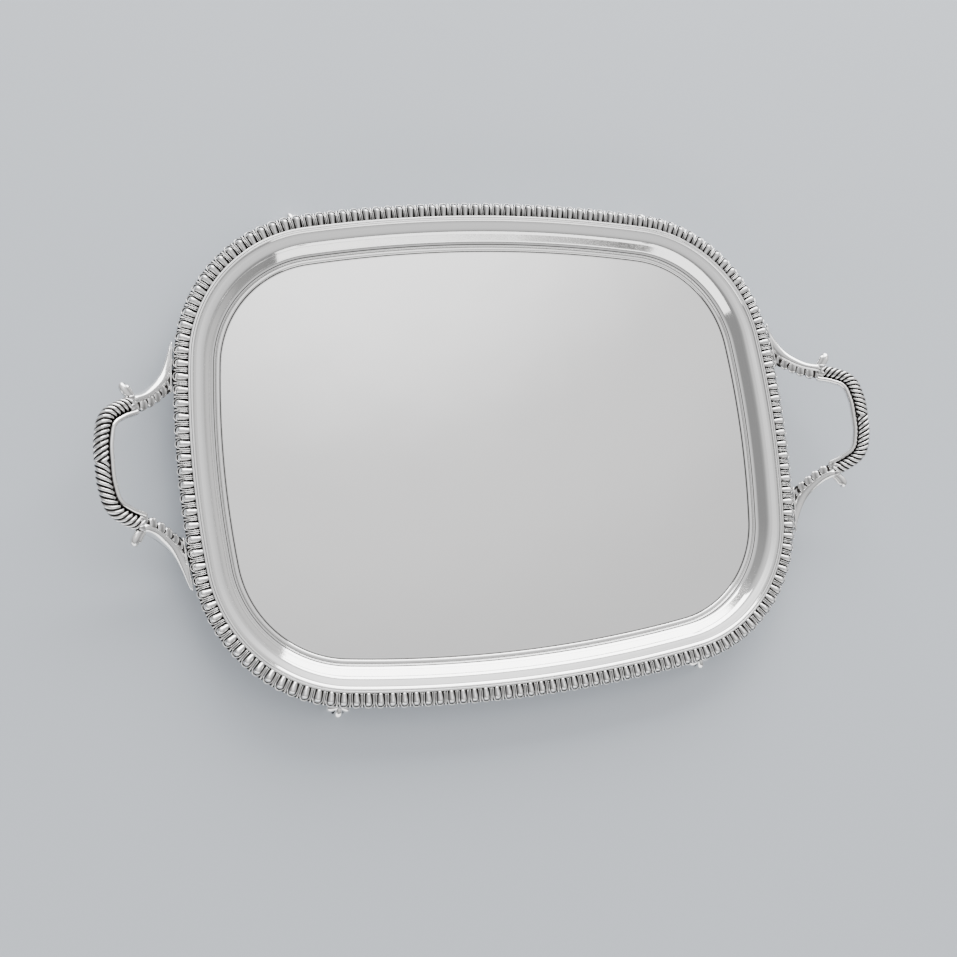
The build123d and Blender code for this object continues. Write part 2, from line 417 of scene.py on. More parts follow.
def make_tray_body():
    bm, oxide_and_shade = start_relief()
    corners = TRAY_TOP + TRAY_UNDERSIDE
    verts = wire(bm, [(out, height) for out, height, _ in corners])
    round_corners(bm, {vert: size for vert, (_, _, size) in zip(verts, corners) if size})
    for out, height in DARK_LINES:
        groove = Vector((out * MM, 0, WELL_TOP + height * MM))
        for vert in bm.verts:
            if (vert.co - groove).length < GROOVE_REACH:
                vert[oxide_and_shade] = GROOVE_TARNISH
    section_to_arc(bm, ARCS["right"])
    geom = bm.verts[:] + bm.edges[:]
    for name, arc in ARCS.items():
        geom = spin_arc(bm, geom, arc, arc_steps(name))
    bmesh.ops.remove_doubles(bm, verts=bm.verts, dist=0.01 * MM)
    close_well(bm, WELL_TOP)
    close_well(bm, WELL_TOP - SHEET)
    bmesh.ops.recalc_face_normals(bm, faces=bm.faces)
    finish_piece("tray_sheet", bm, sheet_silver, ["tray_body"])


make_tray_body()

# %% [markdown]
# ## The gadrooned border
# Gadroons are a row of rounded tongues. On this border each tongue swells towards its outer end,
# which hangs over the tray's edge. A fine bead runs round the tongue's tip, and a thin reed stands
# between one bead and the next. One unit is modelled as a few faces that a Subdivision Surface
# smooths, and it is then repeated on every step of the outline, squeezed a little where the lobes
# stand closer together.

# %% The sizes of one border unit
PITCH = 9.3
BEAD_PATH_HALF = 3.4
BEAD_HALF = 0.48
BEAD_START = -0.8
BEAD_TURN = BORDER_WIDTH / MM - BEAD_PATH_HALF - BEAD_HALF - 0.05

# Stations along the tongue: out, half width, height of the crest
TONGUE_STATIONS = [
    (-0.3, 2.0, 15.6),
    (2.4, 2.5, 16.6),
    (5.4, 3.1, 17.9),
    (8.0, 3.3, 18.1),
    (9.6, 2.4, 15.0),
]
TONGUE_FOOT = 12.6
TONGUE_FLANK = 14.5
BEAD_CREST = 16.3
# The same stations along the reed, by its place in the cage
REED_STATIONS = {-1: (-0.8, 0.5, 16.0), 0: (6.0, 0.5, 16.0), 1: (10.7, 1.1, 14.6)}
# How fast the unit's outer end bends down
DROOP = 0.14
print("one unit is", PITCH, "mm wide and its bead turns at", round(BEAD_TURN, 2))


# %% The tongue
def at_height(vert, height):
    vert.co.z = height * MM


def edges_along(bm, axis):
    return [edge for edge in bm.edges if abs(edge.verts[0].co[axis] - edge.verts[1].co[axis]) > 1]


def add_tongue(bm, oxide_and_shade):
    """A narrow pillow with steep flanks and a swelling, drooping outer end."""
    bmesh.ops.create_cube(bm, size=2)
    for axis, cuts in ((1, 3), (0, 1), (2, 1)):
        bmesh.ops.subdivide_edges(bm, edges=edges_along(bm, axis), cuts=cuts, use_grid_fill=True)
    for vert in bm.verts:
        out, half, crest = TONGUE_STATIONS[round(2 * vert.co.y + 2)]
        level = round(vert.co.z)
        vert[oxide_and_shade] = {-1: 1.0, 0: 0.85, 1: 0.0}[level]
        # The crest's shoulders are narrower and lower, and carry painted shade that greys the
        # tongue.
        if level == 1 and abs(vert.co.x) > 0.5:
            half *= 0.62
            crest -= 1.0
            vert[oxide_and_shade] = 0.28
        vert.co.x *= half * MM
        vert.co.y = out * MM
        at_height(vert, {-1: TONGUE_FOOT, 0: TONGUE_FLANK, 1: crest}[level])


# %% The bead
def add_bead(bm, oxide_and_shade):
    """A fine bead shaped like a hairpin, which runs round the tongue's tip."""
    section = bmesh.ops.create_grid(bm, x_segments=1, y_segments=1, size=1)
    for vert in section["verts"]:
        on_top = vert.co.y > 0
        vert.co = Vector((BEAD_PATH_HALF * MM + vert.co.x * BEAD_HALF * MM, BEAD_START * MM, 0))
        at_height(vert, BEAD_CREST if on_top else TONGUE_FOOT)
        vert[oxide_and_shade] = 0.0 if on_top else 1.0
    faces = list({face for vert in section["verts"] for face in vert.link_faces})
    leg = bmesh.ops.extrude_face_region(bm, geom=faces)["geom"]
    leg_length = (BEAD_TURN - BEAD_START) * MM
    bmesh.ops.translate(bm, verts=only(leg, bmesh.types.BMVert), vec=(0, leg_length, 0))
    turn = bmesh.ops.spin(
        bm,
        geom=only(leg, bmesh.types.BMFace),
        cent=(0, BEAD_TURN * MM, 0),
        axis=(0, 0, 1),
        dvec=(0, 0, 0),
        angle=HALF_TURN,
        steps=4,
        use_merge=False,
    )["geom_last"]
    last = bmesh.ops.extrude_face_region(bm, geom=only(turn, bmesh.types.BMFace))["geom"]
    bmesh.ops.translate(bm, verts=only(last, bmesh.types.BMVert), vec=(0, -leg_length, 0))


# %% The reed
def add_reed(bm, oxide_and_shade):
    """The thin bar between two beads, on the side of the unit."""
    bmesh.ops.create_cube(bm, size=2)
    bmesh.ops.subdivide_edges(bm, edges=edges_along(bm, 1), cuts=1, use_grid_fill=True)
    for vert in bm.verts:
        out, half, crest = REED_STATIONS[round(vert.co.y)]
        on_top = vert.co.z > 0
        vert.co.x = PITCH / 2 * MM + vert.co.x * half * MM
        vert.co.y = out * MM
        at_height(vert, crest if on_top else TONGUE_FOOT)
        vert[oxide_and_shade] = 0.1 if on_top else 1.0


# %% The whole unit
def droop(bm):
    """Lets everything beyond the turn of the bead hang down, more the further out it is."""
    for vert in bm.verts:
        beyond = vert.co.y / MM - BEAD_TURN + 0.8
        if beyond > 0 and vert.co.z > 14.0 * MM:
            vert.co.z -= DROOP * beyond**2 * MM


def unit_mesh():
    """The mesh of one border unit, which is centred on its tongue and stands above the well."""
    parts = []
    for maker in (add_tongue, add_bead, add_reed):
        bm, oxide_and_shade = start_relief()
        maker(bm, oxide_and_shade)
        if maker != add_reed:
            droop(bm)
        mesh = bpy.data.meshes.new("part")
        bm.to_mesh(mesh)
        bm.free()
        parts.append(mesh)
    bm = bmesh.new()
    for mesh in parts:
        bm.from_mesh(mesh)
    bmesh.ops.recalc_face_normals(bm, faces=bm.faces)
    mesh = bpy.data.meshes.new("border_unit")
    bm.to_mesh(mesh)
    print("one border unit has", len(bm.faces), "faces")
    bm.free()
    return mesh


border_unit = unit_mesh()

# %% [markdown]
# ## The border's strips and rows
# The units stand on a cast strip that wraps over the sheet's edge. Its section is turned about one
# arc at a time, because the border is cast in eight lengths that meet where the arcs meet. The
# strip's top lies between the units, so it is as dark as the hollows.

# %% Border strips and their rows of units
# The strip under the units, (out, height, rounding)
BED = [
    (0.0, 13.3, 0),
    (0.0, 14.0, 0),
    (8.6, 14.0, 0.5),
    (10.0, 13.0, 0.5),
    (9.8, 12.3, 0.2),
    (8.8, 12.1, 0),
    (8.8, 13.3, 0),
]


def cap_ends(bm):
    """Closes the two open ends of a turned tube."""
    open_edges = [edge for edge in bm.edges if edge.is_boundary]
    bmesh.ops.holes_fill(bm, edges=open_edges, sides=0)


def make_bed(name, arc):
    bm, oxide_and_shade = start_relief()
    verts = wire(bm, [(out, height) for out, height, _ in BED])
    bm.edges.new((verts[-1], verts[0]))
    round_corners(bm, {vert: size for vert, (_, _, size) in zip(verts, BED) if size})
    section_to_arc(bm, arc)
    spin_arc(bm, bm.verts[:] + bm.edges[:], arc, arc_steps(name))
    cap_ends(bm)
    bmesh.ops.recalc_face_normals(bm, faces=bm.faces)
    for vert in bm.verts:
        vert[oxide_and_shade] = 1.0 if vert.co.z > WELL_TOP + 13.0 * MM else 0.3
    finish_piece("border_strip_" + name, bm, cast_silver, ["border_" + name])


def make_lobes(name, arc):
    radius, start, end, count = arc[2:]
    step = (end - start) / count
    squeeze = step * (radius + BORDER_WIDTH / 2) / (PITCH * MM)
    bm = bmesh.new()
    for index in range(count):
        matrix = outline_matrix(arc, start + (index + 0.5) * step)
        matrix = matrix @ Matrix.Translation((0, 0, WELL_TOP)) @ Matrix.Diagonal((squeeze, 1, 1, 1))
        add_placed(bm, border_unit, matrix)
    nodes = ["border_" + name]
    finish_piece("border_lobes_" + name, bm, cast_silver, nodes, subdivisions=2)


for arc_name, arc_values in ARCS.items():
    make_bed(arc_name, arc_values)
    make_lobes(arc_name, arc_values)

# %% [markdown]
# ## Helpers for swept pieces
# Handles and feet are bent, tapering bars. A ring of points is extruded again and again, and each
# time it is moved to the next frame along a smooth line. The frame's first two columns carry the
# bar's half sizes, so one helper makes round, flat and tapering bars.

# %% Smooth lines and swept bars
def smooth_line(points, count):
    """Evenly spaced places along the smooth curve through the given points, in metres."""
    curve = bpy.data.curves.new("guide", "CURVE")
    curve.dimensions = "3D"
    spline = curve.splines.new("BEZIER")
    spline.bezier_points.add(len(points) - 1)
    spline.resolution_u = 32
    for knot, point in zip(spline.bezier_points, points):
        knot.co = Vector(point) * MM
        knot.handle_left_type = "AUTO"
        knot.handle_right_type = "AUTO"
    guide = bpy.data.objects.new("guide", curve)
    mesh = bpy.data.meshes.new_from_object(guide)
    fine = [vert.co.copy() for vert in mesh.vertices]
    bpy.data.objects.remove(guide)
    bpy.data.meshes.remove(mesh)
    travelled = [0.0]
    for before, after in zip(fine, fine[1:]):
        travelled.append(travelled[-1] + (after - before).length)
    places = []
    index = 0
    for step in range(count):
        target = travelled[-1] * step / (count - 1)
        while index < len(fine) - 2 and travelled[index + 1] < target:
            index += 1
        span = travelled[index + 1] - travelled[index]
        places.append(fine[index].lerp(fine[index + 1], (target - travelled[index]) / span))
    return places


def frames_along(places, upright, sizes):
    """A frame at each place: x across the line, y upright, z along it, with half sizes in mm."""
    frames = []
    for index, place in enumerate(places):
        ahead = places[min(index + 1, len(places) - 1)] - places[max(index - 1, 0)]
        ahead.normalize()
        across = upright.cross(ahead).normalized()
        up = ahead.cross(across)
        half_across, half_up = sizes[index]
        matrix = Matrix((across * half_across * MM, up * half_up * MM, ahead)).transposed().to_4x4()
        matrix.translation = place
        frames.append(matrix)
    return frames


def spread(values, count):
    """The given rows of numbers, spread evenly over a larger count of rows."""
    rows = []
    for step in range(count):
        position = step * (len(values) - 1) / (count - 1)
        index = min(int(position), len(values) - 2)
        share = position - index
        rows.append([a + (b - a) * share for a, b in zip(values[index], values[index + 1])])
    return rows


def sweep_ring(bm, ring, frames, twists=None):
    """Extrudes a ring of unit size through the frames and closes both ends."""
    twists = twists or [0.0] * len(frames)
    placed = [frame @ Matrix.Rotation(twist, 4, "Z") for frame, twist in zip(frames, twists)]
    edges = list({edge for vert in ring for edge in vert.link_edges})
    bmesh.ops.transform(bm, matrix=placed[0], verts=ring)
    bmesh.ops.contextual_create(bm, geom=edges)
    for before, after in zip(placed, placed[1:]):
        made = bmesh.ops.extrude_edge_only(bm, edges=edges)["geom"]
        verts = only(made, bmesh.types.BMVert)
        new_edges = only(made, bmesh.types.BMEdge)
        edges = [edge for edge in new_edges if all(vert in verts for vert in edge.verts)]
        bmesh.ops.transform(bm, matrix=after @ before.inverted(), verts=verts)
    bmesh.ops.contextual_create(bm, geom=edges)


def unit_ring(bm, segments):
    return bmesh.ops.create_circle(bm, cap_ends=False, radius=1, segments=segments)["verts"]


# %% [markdown]
# ## The handles
# Each handle lies in a plane that rises outwards at about 35 degrees. The grip is a round bar cut
# with slanting lobes, like a rope, and the slant turns over at the middle. A ring with four
# hollows that turns as it is swept makes those lobes. A smooth band lines the inner side, so that
# the hand meets no edges.

# %% The handle's plane and line
HANDLE_START = 251.3 * MM
HANDLE_START_HEIGHT = WELL_TOP + 13.1 * MM
HANDLE_SLOPE = math.radians(34.85)
OUT_AXIS = Vector((math.cos(HANDLE_SLOPE), 0, math.sin(HANDLE_SLOPE)))
UP_AXIS = Vector((-math.sin(HANDLE_SLOPE), 0, math.cos(HANDLE_SLOPE)))
HANDLE_MATRIX = Matrix((OUT_AXIS, Vector((0, 1, 0)), UP_AXIS)).transposed().to_4x4()
HANDLE_MATRIX.translation = (HANDLE_START, 0, HANDLE_START_HEIGHT)
GRIP_HALF_LINE = [(62.1, 0, 0), (60.8, 18.0, 0), (56.0, 30.6, 0), (45.4, 37.8, 0), (33.5, 42.1, 0)]
GRIP_RADIUS = 5.35
LOBE_STARTS = 4
LOBE_SPACING = 3.9
GRIP_STEPS = 181
# Shares of the grip's radius at the bottom and at the edge of a groove
GROOVE_DEPTH, GROOVE_EDGE = 0.7, 0.87
# The liner's half sizes, and how far its middle lies beyond the grip's radius
LINER_HALF_THICK, LINER_HALF_HEIGHT, LINER_OFFSET = 2.6, 4.7, 1.3
UPRIGHT = Vector((0, 0, 1))
SIDES = {"right": Matrix.Identity(4), "left": Matrix.Diagonal((-1, 1, 1, 1))}
ENDS = {"back": Matrix.Identity(4), "front": Matrix.Diagonal((1, -1, 1, 1))}

whole_line = [(out, -back, up) for out, back, up in reversed(GRIP_HALF_LINE[1:])] + GRIP_HALF_LINE
grip_places = smooth_line(whole_line, GRIP_STEPS)
grip_length = sum((b - a).length for a, b in zip(grip_places, grip_places[1:])) / MM
print("grip line", round(grip_length, 1), "mm long")


# %% Grips and liners
def make_grip(side):
    bm, oxide_and_shade = start_relief()
    ring = unit_ring(bm, LOBE_STARTS * 6)
    for vert in ring:
        turn = math.atan2(vert.co.y, vert.co.x) / (2 * HALF_TURN) * LOBE_STARTS * 6
        hollows = {0: GROOVE_DEPTH, 1: GROOVE_EDGE, 5: GROOVE_EDGE}
        depth = hollows.get(round(turn) % 6, 1.0)
        vert.co *= depth
        vert[oxide_and_shade] = {GROOVE_DEPTH: 1.0, GROOVE_EDGE: 0.5}.get(depth, 0.0)
    frames = frames_along(grip_places, UPRIGHT, [(GRIP_RADIUS, GRIP_RADIUS)] * GRIP_STEPS)
    turns = grip_length / 2 / (LOBE_STARTS * LOBE_SPACING)
    from_ends = [1 - abs(2 * step / (GRIP_STEPS - 1) - 1) for step in range(GRIP_STEPS)]
    twists = [2 * HALF_TURN * turns * share for share in from_ends]
    sweep_ring(bm, ring, frames, twists)
    bmesh.ops.transform(bm, matrix=SIDES[side] @ HANDLE_MATRIX, verts=bm.verts)
    bmesh.ops.recalc_face_normals(bm, faces=bm.faces)
    nodes = [f"handle_{side}_grip"]
    finish_piece("rope_grip_" + side, bm, cast_silver, nodes, subdivisions=1)


def make_liner(side):
    bm, oxide_and_shade = start_relief()
    ring = unit_ring(bm, 16)
    # Painted shade darkens the liner's side next to the grip and its underside.
    for vert in ring:
        vert[oxide_and_shade] = 1.0 if vert.co.x < -0.6 or vert.co.y < -0.8 else 0.0
    sizes = [(LINER_HALF_THICK, LINER_HALF_HEIGHT)] * GRIP_STEPS
    frames = frames_along(grip_places, UPRIGHT, sizes)
    inwards = Matrix.Translation(((GRIP_RADIUS + LINER_OFFSET) / LINER_HALF_THICK, 0, 0))
    sweep_ring(bm, ring, [frame @ inwards for frame in frames])
    bmesh.ops.transform(bm, matrix=SIDES[side] @ HANDLE_MATRIX, verts=bm.verts)
    bmesh.ops.recalc_face_normals(bm, faces=bm.faces)
    nodes = [f"handle_{side}_liner"]
    finish_piece("grip_liner_" + side, bm, sheet_silver, nodes)


for side_name in SIDES:
    make_grip(side_name)
    make_liner(side_name)

# %% [markdown]
# ## The leaves of the handles
# An acanthus leaf covers the joint between grip and border. Its outer half is smooth and bright.
# Its inner half is cut into lobes that lean back towards the grip. The leaf's body is a flat bar
# that swells towards the border, and each lobe is a small pointed pillow with a hollow down its
# middle. A straight flange lies along the border.

# %% One small lobe of a leaf
def leaflet_mesh():
    """A pointed pillow that runs from the origin along y to 1, two thirds as wide, with z up."""
    bm, oxide_and_shade = start_relief()
    bmesh.ops.create_cube(bm, size=2)
    for axis, cuts in ((1, 2), (0, 1)):
        bmesh.ops.subdivide_edges(bm, edges=edges_along(bm, axis), cuts=cuts, use_grid_fill=True)
    stations = [(0.0, 0.22, 0.5), (0.35, 0.32, 1.0), (0.75, 0.34, 1.1), (1.05, 0.12, 0.7)]
    for vert in bm.verts:
        along_leaf, half, crest = stations[round((vert.co.y + 1) * 1.5)]
        on_top = vert.co.z > 0
        middle = abs(vert.co.x) < 0.1
        vert.co.x *= half
        vert.co.y = along_leaf
        vert.co.z = crest - (0.3 if middle else 0.0) if on_top else -0.6
        vert[oxide_and_shade] = (0.42 if middle else 0.0) if on_top else 1.0
    mesh = bpy.data.meshes.new("leaflet")
    bm.to_mesh(mesh)
    print("one lobe of a leaf has", len(bm.faces), "faces")
    bm.free()
    return mesh


leaflet = leaflet_mesh()


def add_leaflet(bm, root, heading, length, width, height, tilt=0.0):
    """Places a leaflet at a root, pointing along a heading, with its sizes in millimetres."""
    along = heading.normalized()
    across = along.cross(UPRIGHT).normalized()
    matrix = Matrix((across, along, across.cross(along))).transposed().to_4x4()
    matrix.translation = root
    size = Matrix.Diagonal((width * MM, length * MM, height * MM, 1))
    add_placed(bm, leaflet, matrix @ Matrix.Rotation(tilt, 4, "X") @ size)


# %% Leaf bodies with their lobes
# The leaf's sections from grip to border: out, back, width, thickness, heading in degrees
LEAF = [
    (35.5, 40.7, 14.0, 11.4, 160),
    (28.0, 43.3, 12.6, 10.4, 158),
    (21.2, 45.9, 11.8, 9.4, 154),
    (15.1, 49.5, 12.6, 8.6, 151),
    (10.1, 53.2, 12.6, 7.8, 146),
    (5.6, 56.8, 13.2, 7.0, 146),
    (2.2, 60.5, 15.4, 6.2, 155),
    (-0.8, 65.0, 21.6, 5.4, 169),
    (-3.8, 70.3, 29.6, 4.8, 175),
    (-6.7, 74.8, 35.6, 4.0, 178),
]

# The lobes: how many, their sizes, rows from one to the next, and their lean along the leaf
LEAFLETS_PER_LEAF = 7
LEAFLET_WIDTH = 11.6
LEAFLET_LONGEST = 9.8
LEAFLET_STEP = 8.2
LEAFLET_LEAN = -0.4


def leaf_frame(row):
    """A frame on the leaf: x towards the inner edge, y up, z ahead. The edges are at one unit."""
    out, back, width, thickness, heading = row
    heading = math.radians(heading)
    inner = Vector((-math.sin(heading), math.cos(heading), 0))
    ahead = Vector((math.cos(heading), math.sin(heading), 0))
    columns = (inner * width / 2 * MM, UPRIGHT * thickness / 2 * MM, ahead)
    matrix = Matrix(columns).transposed().to_4x4()
    matrix.translation = Vector((out, back, 0)) * MM
    return matrix, inner, ahead


def make_leaf(side, end):
    bm, oxide_and_shade = start_relief()
    frames = [leaf_frame(row)[0] for row in LEAF]
    ridge = Matrix.Translation((-0.4, 0, 0)) @ Matrix.Diagonal((0.6, 1, 1, 1))
    smooth_side = unit_ring(bm, 12)
    # Painted shade darkens the underside of the leaf's smooth half.
    for vert in smooth_side:
        vert[oxide_and_shade] = 0.75 if vert.co.y < -0.3 else 0.0
    sweep_ring(bm, smooth_side, [frame @ ridge for frame in frames])
    core = unit_ring(bm, 10)
    for vert in core:
        vert[oxide_and_shade] = 1.0
    inside = Matrix.Translation((0.3, 0, 0)) @ Matrix.Diagonal((0.6, 0.6, 1, 1))
    sweep_ring(bm, core, [frame @ inside for frame in frames])
    rows = spread(LEAF, 10 * LEAFLETS_PER_LEAF)
    for index in range(LEAFLETS_PER_LEAF):
        row = rows[round((index + 0.35) * LEAFLET_STEP)]
        matrix, inner, ahead = leaf_frame(row)
        half, thick = row[2] / 2, row[3] / 2
        length = min(1.3 * half, LEAFLET_LONGEST)
        heading = inner + ahead * LEAFLET_LEAN
        for over in (1, -1):
            root = matrix @ Vector((1.02 - 0.9 * length / half, 0.42 * over, 0))
            height = 0.5 * thick * over
            add_leaflet(bm, root, heading, length, LEAFLET_WIDTH, height, -0.2 * over)
    bmesh.ops.transform(bm, matrix=SIDES[side] @ ENDS[end] @ HANDLE_MATRIX, verts=bm.verts)
    bmesh.ops.recalc_face_normals(bm, faces=bm.faces)
    nodes = [f"handle_{side}_leaf_{end}"]
    finish_piece(f"acanthus_{side}_{end}", bm, cast_silver, nodes, subdivisions=2)


# %% Flanges
# The flange's ends, measured back from the tray's long axis, and its half sizes
FLANGE_START, FLANGE_END = 50.5, 90.0
FLANGE_HALF_THICK, FLANGE_HALF_HEIGHT = 0.9, 1.7


def make_flange(side, end):
    """The thin straight flange that joins a leaf to the border's edge."""
    bm, _ = start_relief()
    centre_x, centre_y, radius = ARCS["right"][:3]
    edge = radius + BORDER_WIDTH
    first_angle = math.asin(FLANGE_START * MM / edge)
    last_angle = math.asin(FLANGE_END * MM / edge)
    section = bmesh.ops.create_grid(bm, x_segments=1, y_segments=1, size=1)["verts"]
    place = Matrix.Translation((edge + 0.6 * MM, 0, WELL_TOP + 13.0 * MM))
    place = place @ Matrix.Rotation(HALF_TURN / 2, 4, "X")
    size = Matrix.Diagonal((FLANGE_HALF_THICK * MM, FLANGE_HALF_HEIGHT * MM, 1, 1))
    bmesh.ops.transform(bm, matrix=place @ size, verts=section)
    bmesh.ops.rotate(bm, verts=section, cent=(0, 0, 0), matrix=Matrix.Rotation(first_angle, 3, "Z"))
    bmesh.ops.spin(
        bm,
        geom=bm.faces[:],
        cent=(0, 0, 0),
        axis=(0, 0, 1),
        dvec=(0, 0, 0),
        angle=last_angle - first_angle,
        steps=6,
        use_merge=False,
    )
    shift = Matrix.Translation((centre_x, centre_y, 0))
    bmesh.ops.transform(bm, matrix=SIDES[side] @ ENDS[end] @ shift, verts=bm.verts)
    bmesh.ops.recalc_face_normals(bm, faces=bm.faces)
    nodes = [f"handle_{side}_leaf_{end}"]
    finish_piece(f"leaf_flange_{side}_{end}", bm, cast_silver, nodes, subdivisions=1)


# %% [markdown]
# ## The thumb leaves
# A small leaf stands up where the grip meets the acanthus, curls over at its tip and gives the
# thumb something to press on. It is a bar with a hollow down its upper side, swept along a curled
# line, with two small lobes at its root that cover the joint.

# %% Thumb leaves
# The thumb leaf's line with its half sizes: out, back, lift, half width, half thickness
THUMB_LEAF = [
    (31.0, 44.6, 0.0, 3.2, 3.2),
    (34.9, 47.2, 0.4, 3.8, 3.2),
    (37.2, 49.8, 0.5, 4.2, 3.0),
    (38.6, 52.4, 0.2, 4.5, 3.0),
    (38.9, 54.4, -0.8, 4.3, 2.8),
    (38.2, 55.4, -1.9, 3.2, 2.4),
    (37.4, 55.0, -2.6, 1.8, 1.6),
    (37.0, 54.6, -2.8, 0.8, 0.7),
]


def make_thumb_leaf(side, end):
    bm, oxide_and_shade = start_relief()
    places = [Vector(row[:3]) * MM for row in THUMB_LEAF]
    frames = frames_along(places, UPRIGHT, [row[3:] for row in THUMB_LEAF])
    ring = unit_ring(bm, 12)
    # The hollow down the top keeps some oxide; painted shade darkens the underside.
    for vert in ring:
        if vert.co.y > 0.95:
            vert.co.y = 0.75
            vert[oxide_and_shade] = 0.35
        elif vert.co.y < -0.3:
            vert[oxide_and_shade] = 0.8
    sweep_ring(bm, ring, frames)
    for sideways in (-1, 1):
        heading = Vector((1, -0.3 + 0.25 * sideways, 0))
        root = Vector((30.5, 43.5 + 1.7 * sideways, 2.6)) * MM
        add_leaflet(bm, root, heading, 8.0, 6.5, 2.0, 0.1)
    bmesh.ops.transform(bm, matrix=SIDES[side] @ ENDS[end] @ HANDLE_MATRIX, verts=bm.verts)
    bmesh.ops.recalc_face_normals(bm, faces=bm.faces)
    nodes = [f"handle_{side}_scroll_{end}"]
    finish_piece(f"thumb_leaf_{side}_{end}", bm, cast_silver, nodes, subdivisions=2)


for side_name in SIDES:
    for end_name in ENDS:
        make_leaf(side_name, end_name)
        make_flange(side_name, end_name)
        make_thumb_leaf(side_name, end_name)

# %% [markdown]
# ## The feet
# Each foot is a claw that holds a ball. The leg springs from a pad under the rim, and three toes
# with a knuckle and a nail close over the ball, with a short one behind. The foot is modelled once,
# on the radius of its corner, and placed four times.

# %% The sizes of a foot
FOOT_ANGLE = math.radians(80)
BALL_OUT = CORNER_RADIUS / MM + 9.0
BALL_RADIUS = 7.5
BALL_HEIGHT = 6.87
# The leg's level rings: out, height, half size out, half size across
LEG_RINGS = [
    (101.5, 21.0, 5.4, 10.6),
    (102.6, 19.0, 5.0, 8.4),
    (105.5, 15.6, 4.2, 5.6),
    (110.0, 12.8, 4.2, 4.8),
    (114.0, 11.2, 5.2, 5.2),
    (116.5, 9.0, 5.6, 5.6),
]
# A toe's line from the ball's middle: out, height, half width
TOE = [
    (0.0, 14.0, 2.6),
    (3.8, 13.4, 2.7),
    (6.7, 10.8, 4.0),
    (7.6, 7.2, 3.0),
    (7.9, 4.0, 2.2),
    (7.4, 1.2, 0.9),
]
TOE_TURNS = {"middle": 0.0, "left": -1.2, "right": 1.2, "rear": HALF_TURN}
REAR_TOE_REACH = 0.8
# How dark the ball's upper half, in among the toes, is drawn.
BALL_TOP_DARKNESS = 0.6
print("the ball is", 2 * BALL_RADIUS, "mm across and stands", round(BALL_OUT, 1), "mm out")


# %% Claw and ball feet
def add_toe(bm, turn):
    reach = REAR_TOE_REACH if turn == HALF_TURN else 1.0
    places = [Vector((out * reach, 0, height)) * MM for out, height, _ in TOE]
    frames = frames_along(places, Vector((0, 1, 0)), [(half, half) for _, _, half in TOE])
    place = Matrix.Translation((BALL_OUT * MM, 0, 0)) @ Matrix.Rotation(turn, 4, "Z")
    sweep_ring(bm, unit_ring(bm, 8), [place @ frame for frame in frames])


def foot_bmesh():
    bm, oxide_and_shade = start_relief()
    rings = []
    for out, height, half_out, half_across in LEG_RINGS:
        place = Matrix.Translation((out * MM, 0, height * MM))
        rings.append(place @ Matrix.Diagonal((half_out * MM, half_across * MM, 1, 1)))
    sweep_ring(bm, unit_ring(bm, 12), rings)
    for turn in TOE_TURNS.values():
        add_toe(bm, turn)
    radius = BALL_RADIUS * MM
    ball = bmesh.ops.create_uvsphere(bm, u_segments=16, v_segments=12, radius=radius)["verts"]
    bmesh.ops.translate(bm, verts=ball, vec=(BALL_OUT * MM, 0, BALL_HEIGHT * MM))
    for vert in ball:
        vert.co.z = max(vert.co.z, 0.0)
        if vert.co.z > BALL_HEIGHT * MM:
            vert[oxide_and_shade] = BALL_TOP_DARKNESS
    for sideways in (-1, 0, 1):
        root = Vector((104.5, 2.2 * sideways, 12.0)) * MM
        add_leaflet(bm, root, Vector((0.45, 0.55 * sideways, 1.0)), 9.0, 6.5, 1.6)
    return bm


CORNERS = {
    "back_right": Matrix.Identity(4),
    "front_right": Matrix.Diagonal((1, -1, 1, 1)),
    "back_left": Matrix.Diagonal((-1, 1, 1, 1)),
    "front_left": Matrix.Diagonal((-1, -1, 1, 1)),
}
corner_frame = Matrix.Translation((CORNER_X, CORNER_Y, 0)) @ Matrix.Rotation(FOOT_ANGLE, 4, "Z")
for corner_name, corner_matrix in CORNERS.items():
    foot = foot_bmesh()
    bmesh.ops.transform(foot, matrix=corner_matrix @ corner_frame, verts=foot.verts)
    bmesh.ops.recalc_face_normals(foot, faces=foot.faces)
    foot_nodes = ["foot_" + corner_name]
    name = "claw_foot_" + corner_name
    finish_piece(name, foot, cast_silver, foot_nodes, subdivisions=2)

# %% Foot plates
# The pads under the rim keep their CAD shape and take the sheet's silver.
for corner_name in CORNERS:
    pad = frame["nodes"]["foot_plate_" + corner_name]
    pad.data.materials.clear()
    pad.data.materials.append(sheet_silver)
    print(pad.name, "keeps its CAD shape")

# %% [markdown]
# ## Floor, light and camera
# Polished silver shows its surroundings, so the light is mostly large and pale. A pale floor lies
# under the feet. The sky is brightest overhead and a little behind the tray, where the flat well
# looks, and darker low down, which draws the edges of the lobes. One long soft light stands behind
# the tray and another in front, and the sloping wall of the well shows both.

# %% Floor
floor_mesh = bpy.data.meshes.new("floor")
floor_bm = bmesh.new()
bmesh.ops.create_grid(floor_bm, x_segments=1, y_segments=1, size=6.0)
floor_bm.to_mesh(floor_mesh)
floor_bm.free()
floor = bpy.data.objects.new("floor", floor_mesh)
bpy.context.scene.collection.objects.link(floor)
floor_paint = bpy.data.materials.new("pale_floor")
floor_paint.use_nodes = True
floor_shader = floor_paint.node_tree.nodes["Principled BSDF"]
floor_shader.inputs["Base Color"].default_value = (0.6, 0.64, 0.69, 1)
floor_shader.inputs["Roughness"].default_value = 0.7
floor_mesh.materials.append(floor_paint)
print("floor", round(floor.dimensions.x, 1), "m wide")

# %% Sky
BRIGHTEST_WAY = (0.232, 0.424, 0.875)
